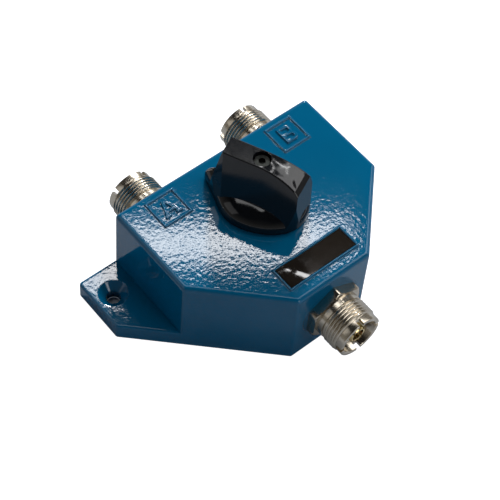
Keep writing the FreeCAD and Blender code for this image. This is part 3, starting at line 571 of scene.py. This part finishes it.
add(tree, "ShaderNodeOutputMaterial", links={"Surface": shader.outputs["BSDF"]})
for node in ("shaft", "detent_disc"):
    dress(node, steel)

# Oil-tempered spring steel: blue-grey, paler and glossier in marks 0.8 mm wide
scale_width = 0.8 * MM
spring, tree = new_material("tempered_spring_steel")
place = add(tree, "ShaderNodeTexCoord").outputs["Object"]
scale_marks = add(tree, "ShaderNodeTexNoise", {"Scale": 1 / scale_width, "Detail": 4.0}, {"Vector": place})
shade = add(tree, "ShaderNodeMix", {"data_type": "RGBA", "A": srgb("#5d6068"), "B": srgb("#7c7d80")},
            {"Factor": scale_marks.outputs["Fac"]})
gloss = add(tree, "ShaderNodeMapRange", {"To Min": 0.45, "To Max": 0.25},
            {"Value": scale_marks.outputs["Fac"]})
shader = add(tree, "ShaderNodeBsdfPrincipled", {"Metallic": 1.0},
             {"Base Color": shade.outputs["Result"], "Roughness": gloss.outputs["Result"]})
add(tree, "ShaderNodeOutputMaterial", links={"Surface": shader.outputs["BSDF"]})
for node in ("retaining_rings", "detent_spring"):
    dress(node, spring)

# ---- Rotor hub ----------------------------------------------------------------------------------
# The hub that carries the blade is moulded in white acetal. It turns with the shaft's flat and drives
# the blade with its hexagon.

# Moulded acetal: waxy white, with faint flow marks 2 mm wide
flow_width, flow_relief = 2.0 * MM, 0.01 * MM
acetal, tree = new_material("moulded_white_acetal")
place = add(tree, "ShaderNodeTexCoord").outputs["Object"]
flow = add(tree, "ShaderNodeTexNoise", {"Scale": 1 / flow_width, "Detail": 3.0}, {"Vector": place})
shade = add(tree, "ShaderNodeMix", {"data_type": "RGBA", "A": srgb("#dcdad2"), "B": srgb("#eae9e3")},
            {"Factor": flow.outputs["Fac"]})
rise = add(tree, "ShaderNodeBump", {"Distance": flow_relief}, {"Height": flow.outputs["Fac"]})
shader = add(tree, "ShaderNodeBsdfPrincipled", {"Roughness": 0.4, "IOR": 1.48},
             {"Base Color": shade.outputs["Result"], "Normal": rise.outputs["Normal"]})
add(tree, "ShaderNodeOutputMaterial", links={"Surface": shader.outputs["BSDF"]})
dress("rotor_hub", acetal)

# ---- Knob ---------------------------------------------------------------------------------------
# A bar knob with a pointed skirt, moulded in black phenolic and glossy as it leaves the mould. Its
# front slope has sunk in waves over the thick moulding below. It stands turned towards port A.

# Compression-moulded phenolic: near black, with a grain of 0.35 mm in its gloss, and waves 5 mm
# apart on the slope
rest_turn = 25.0
grain_width, grain_relief, flow_width = 0.35 * MM, 0.003 * MM, 9.0 * MM
sink_width, sink_relief, slope_starts, slope_full = 5.0 * MM, 0.6 * MM, -1 * MM, -4 * MM
phenolic, tree = new_material("moulded_black_phenolic")
place = add(tree, "ShaderNodeTexCoord").outputs["Object"]
grain = add(tree, "ShaderNodeTexNoise", {"Scale": 1 / grain_width, "Detail": 3.0}, {"Vector": place})
flow = add(tree, "ShaderNodeTexNoise", {"Scale": 1 / flow_width, "Detail": 2.0}, {"Vector": place})
shade = add(tree, "ShaderNodeMix", {"data_type": "RGBA", "A": srgb("#0d0f12"), "B": srgb("#131519")},
            {"Factor": flow.outputs["Fac"]})
gloss = add(tree, "ShaderNodeMapRange", {"From Min": 0.3, "From Max": 0.7, "To Min": 0.08, "To Max": 0.13},
            {"Value": grain.outputs["Fac"]})
pointer_turn = Matrix.Rotation(math.radians(rest_turn), 4, "Z")
pointer = pointer_turn @ Vector((0, 1, 0))
along = add(tree, "ShaderNodeVectorMath", {"operation": "DOT_PRODUCT", 1: pointer}, {0: place})
sloping = add(tree, "ShaderNodeMapRange", {"From Min": slope_starts, "From Max": slope_full},
              {"Value": along.outputs["Value"]})
facing = add(tree, "ShaderNodeNewGeometry").outputs["Normal"]
upward = add(tree, "ShaderNodeSeparateXYZ", links={"Vector": facing}).outputs["Z"]
level = add(tree, "ShaderNodeMapRange", {"From Min": 0.7, "From Max": 0.8}, {"Value": upward})
sunk = add(tree, "ShaderNodeMath", {"operation": "MULTIPLY"},
           {0: sloping.outputs["Result"], 1: level.outputs["Result"]})
sink = add(tree, "ShaderNodeTexNoise", {"Scale": 1 / sink_width, "Detail": 0.0, "Distortion": 0.6},
           {"Vector": place})
waves = add(tree, "ShaderNodeBump", {"Distance": sink_relief},
            {"Height": sink.outputs["Fac"], "Strength": sunk.outputs[0]})
rise = add(tree, "ShaderNodeBump", {"Distance": grain_relief},
           {"Height": grain.outputs["Fac"], "Normal": waves.outputs["Normal"]})
shader = add(tree, "ShaderNodeBsdfPrincipled", {"IOR": 1.5},
             {"Base Color": shade.outputs["Result"], "Roughness": gloss.outputs["Result"],
              "Normal": rise.outputs["Normal"]})
add(tree, "ShaderNodeOutputMaterial", links={"Surface": shader.outputs["BSDF"]})
dress("knob", phenolic, 38.0)

# ---- Index mark ---------------------------------------------------------------------------------
# A short line is cut in the nose of the knob's skirt and filled with ivory enamel. It shows which port
# is selected.

# Ivory enamel wiped into a cut line: satin, and soiled in specks 0.5 mm wide
soil_width = 0.5 * MM
ivory, tree = new_material("ivory_filling_enamel")
place = add(tree, "ShaderNodeTexCoord").outputs["Object"]
soil = add(tree, "ShaderNodeTexNoise", {"Scale": 1 / soil_width, "Detail": 3.0}, {"Vector": place})
shade = add(tree, "ShaderNodeMix", {"data_type": "RGBA", "A": srgb("#8f7a6c"), "B": srgb("#c9bdb0")},
            {"Factor": soil.outputs["Fac"]})
shader = add(tree, "ShaderNodeBsdfPrincipled", {"Roughness": 0.35, "IOR": 1.5},
             {"Base Color": shade.outputs["Result"]})
add(tree, "ShaderNodeOutputMaterial", links={"Surface": shader.outputs["BSDF"]})

mark_width, mark_rise, mark_start, mark_end, mark_steps = 0.9, 0.04, 15.0, 17.2, 10
over_knob = 60.0
knob_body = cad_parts["knob"]
upper, lower = [], []
for step in range(mark_steps + 1):
    y = mark_start + (mark_end - mark_start) * step / mark_steps
    for side in (-1, 1):
        start = pointer_turn @ Vector((side * mark_width / 2 * MM, y * MM, over_knob * MM))
        found, point, _, _ = knob_body.ray_cast(start, Vector((0, 0, -1)))
        upper.append(point + Vector((0, 0, mark_rise * MM)))
        lower.append(point - Vector((0, 0, mark_rise * MM)))
count = len(upper)
faces = []
for step in range(mark_steps):
    a = 2 * step
    faces += [(a, a + 1, a + 3, a + 2), (count + a + 1, count + a, count + a + 2, count + a + 3)]
    faces += [(a + 2, count + a + 2, count + a, a), (a + 1, count + a + 1, count + a + 3, a + 3)]
faces += [(1, 0, count, count + 1), (count - 2, count - 1, 2 * count - 1, 2 * count - 2)]
mark_mesh = bpy.data.meshes.new("index_mark")
mark_mesh.from_pydata([tuple(p) for p in upper + lower], [], faces)
mark_mesh.materials.append(ivory)
smooth(mark_mesh)
mark = bpy.data.objects.new("index_mark", mark_mesh)
bpy.context.scene.collection.objects.link(mark)
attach(mark, "selector")

# ---- Knob screw ---------------------------------------------------------------------------------
# A socket screw holds the knob on the shaft, with its head sunk in the knob's top. It is headed in
# steel and blackened in oil.

# Steel blackened in oil: near black, paler and glossier where it is worn, in marks 0.6 mm wide
wear_width = 0.6 * MM
blackened, tree = new_material("oil_blackened_steel")
place = add(tree, "ShaderNodeTexCoord").outputs["Object"]
wear = add(tree, "ShaderNodeTexNoise", {"Scale": 1 / wear_width, "Detail": 3.0}, {"Vector": place})
shade = add(tree, "ShaderNodeMix", {"data_type": "RGBA", "A": srgb("#1c1e1d"), "B": srgb("#2f312f")},
            {"Factor": wear.outputs["Fac"]})
gloss = add(tree, "ShaderNodeMapRange", {"To Min": 0.5, "To Max": 0.34}, {"Value": wear.outputs["Fac"]})
shader = add(tree, "ShaderNodeBsdfPrincipled", {"Metallic": 1.0},
             {"Base Color": shade.outputs["Result"], "Roughness": gloss.outputs["Result"]})
add(tree, "ShaderNodeOutputMaterial", links={"Surface": shader.outputs["BSDF"]})
dress("knob_screw", blackened)

# ---- Studio -------------------------------------------------------------------------------------
# The switch stands on white paper in a dim room, under seven softboxes. A thin strip and a long panel
# high behind it show in its level faces, and the others light its walls, edges and sockets.

floor_reach, floor_drop = 3.0, 0.02 * MM
floor_mesh = bpy.data.meshes.new("floor")
corners = [(-floor_reach, -floor_reach, 0), (floor_reach, -floor_reach, 0),
           (floor_reach, floor_reach, 0), (-floor_reach, floor_reach, 0)]
floor_mesh.from_pydata(corners, [], [(0, 1, 2, 3)])
floor = bpy.data.objects.new("floor", floor_mesh)
bpy.context.scene.collection.objects.link(floor)
floor.location.z = -floor_drop

# White paper sweep: the camera sees it pure white, but in its own shade through the ears' holes. In
# mirrors it brightens away from the switch, which leaves a painted shade round the switch. It glows
# on what lies flat on it, a painted light on their undersides, and it is clear from below.
ear_hole_x, ear_hole_y, hole_surround = 44.3 * MM, 12.2 * MM, 4 * MM
painted_shade_reach, full_reach, touch_reach, painted_underside_light = 0.08, 0.5, 0.3 * MM, 0.5
paper, tree = new_material("white_paper_sweep")
path = add(tree, "ShaderNodeLightPath")
spot = add(tree, "ShaderNodeTexCoord").outputs["Object"]
mirrored = add(tree, "ShaderNodeMath", {"operation": "MAXIMUM"},
               {0: path.outputs["Is Glossy Ray"], 1: path.outputs["Is Transmission Ray"]})
away = add(tree, "ShaderNodeVectorMath", {"operation": "LENGTH"}, {0: spot})
# Painted shade: in mirrors the floor glows nothing near the switch, and more further off.
backdrop_with_painted_shade = add(tree, "ShaderNodeMapRange", {"From Min": painted_shade_reach, "From Max": full_reach, "To Max": 0.22},
          {"Value": away.outputs["Value"]})
mirrored_backdrop_with_painted_shade = add(tree, "ShaderNodeMath", {"operation": "MULTIPLY"},
            {0: mirrored.outputs[0], 1: backdrop_with_painted_shade.outputs["Result"]})
holes = [add(tree, "ShaderNodeVectorMath", {"operation": "DISTANCE", 1: (x, ear_hole_y, 0)}, {0: spot})
         for x in (-ear_hole_x, ear_hole_x)]
nearest = add(tree, "ShaderNodeMath", {"operation": "MINIMUM"},
              {0: holes[0].outputs["Value"], 1: holes[1].outputs["Value"]})
open_floor = add(tree, "ShaderNodeMath", {"operation": "GREATER_THAN", 1: hole_surround},
                 {0: nearest.outputs[0]})
plain = add(tree, "ShaderNodeMath", {"operation": "MULTIPLY"},
            {0: path.outputs["Is Camera Ray"], 1: open_floor.outputs[0]})
in_sight = add(tree, "ShaderNodeMath", {"operation": "MAXIMUM"}, {0: mirrored_backdrop_with_painted_shade.outputs[0], 1: plain.outputs[0]})
# Painted light: the floor glows for rays that meet it at once, lighting undersides that lie flat on it.
touching = add(tree, "ShaderNodeMath", {"operation": "LESS_THAN", 1: touch_reach},
               {0: path.outputs["Ray Length"]})
painted_light_beneath = add(tree, "ShaderNodeMath", {"operation": "MULTIPLY", 1: painted_underside_light}, {0: touching.outputs[0]})
share = add(tree, "ShaderNodeMath", {"operation": "MAXIMUM"},
            {0: in_sight.outputs[0], 1: painted_light_beneath.outputs[0]})
matte = add(tree, "ShaderNodeBsdfDiffuse", {"Color": srgb("#b4b8be")})
glow = add(tree, "ShaderNodeEmission", {"Color": srgb("#ffffff")}, {"Strength": share.outputs[0]})
both = add(tree, "ShaderNodeAddShader", {}, {0: matte.outputs[0], 1: glow.outputs[0]})
under = add(tree, "ShaderNodeNewGeometry").outputs["Backfacing"]
clear = add(tree, "ShaderNodeBsdfTransparent")
sheet = add(tree, "ShaderNodeMixShader", {}, {"Fac": under, 1: both.outputs[0], 2: clear.outputs[0]})
add(tree, "ShaderNodeOutputMaterial", links={"Surface": sheet.outputs[0]})
floor_mesh.materials.append(paper)


def softbox(name, place_m, size_m, watts, roll=0.0):
    """A rectangular softbox that faces the switch, rolled about its own axis."""
    lamp = bpy.data.lights.new(name, "AREA")
    lamp.shape = "RECTANGLE"
    lamp.size, lamp.size_y = size_m
    lamp.energy = watts
    box = bpy.data.objects.new(name, lamp)
    bpy.context.scene.collection.objects.link(box)
    box.location = place_m
    box.rotation_mode = "QUATERNION"
    aim = Vector(place_m).to_track_quat("Z", "Y")
    box.rotation_quaternion = aim @ Quaternion((0, 0, 1), math.radians(roll))


softbox("strip_light", (0.2707, 0.3444, 0.7045), (0.26, 0.028), 0.375, 2.5)
softbox("right_strip", (0.50, 0.05, 0.75), (0.25, 0.03), 0.3)
softbox("back_light", (0.568, 0.631, 0.48), (0.14, 0.14), 8.6)
softbox("top_panel", (0.150, 0.155, 0.90), (0.9, 0.2), 1.4)
softbox("right_light", (0.68, -0.20, 0.70), (0.6, 0.6), 3.0)
softbox("left_light", (-0.78, 0.42, 0.62), (0.6, 0.6), 0.6)
softbox("front_fill", (0.15, -0.95, 0.40), (0.4, 0.4), 1.9)

# The room is white to the camera. Elsewhere its walls are a dim cool grey that darkens towards the
# ceiling, and a warmer one in mirrors.
world = bpy.data.worlds.new("studio")
bpy.context.scene.world = world
world.use_nodes = True
tree = world.node_tree
tree.nodes.clear()
path = add(tree, "ShaderNodeLightPath")
heading = add(tree, "ShaderNodeTexCoord").outputs["Generated"]
height = add(tree, "ShaderNodeSeparateXYZ", links={"Vector": heading}).outputs["Z"]
dimming = add(tree, "ShaderNodeMapRange",
              {"From Min": 0.15, "From Max": 0.75, "To Min": 0.27, "To Max": 0.012}, {"Value": height})
white = add(tree, "ShaderNodeBackground", {"Color": srgb("#ffffff"), "Strength": 1.0})
air = add(tree, "ShaderNodeMix", {"data_type": "RGBA", "A": srgb("#cfdff3"), "B": srgb("#ebe6dc")},
          {"Factor": path.outputs["Is Glossy Ray"]})
room = add(tree, "ShaderNodeBackground", {},
           {"Color": air.outputs["Result"], "Strength": dimming.outputs["Result"]})
mix = add(tree, "ShaderNodeMixShader", {},
          {"Fac": path.outputs["Is Camera Ray"], 1: room.outputs[0], 2: white.outputs[0]})
add(tree, "ShaderNodeOutputWorld", links={"Surface": mix.outputs[0]})

camera_place, camera_turn = (-176.12, -178.95, 377.43), (33.718, -3.260, -39.481)
camera = bpy.data.cameras.new("camera")
camera.sensor_width = 36.0
camera.lens = 105.02
camera_object = bpy.data.objects.new("camera", camera)
bpy.context.scene.collection.objects.link(camera_object)
camera_object.location = Vector(camera_place) * MM
camera_object.rotation_euler = [math.radians(a) for a in camera_turn]
bpy.context.scene.camera = camera_object
bpy.context.scene.view_settings.view_transform = "Standard"
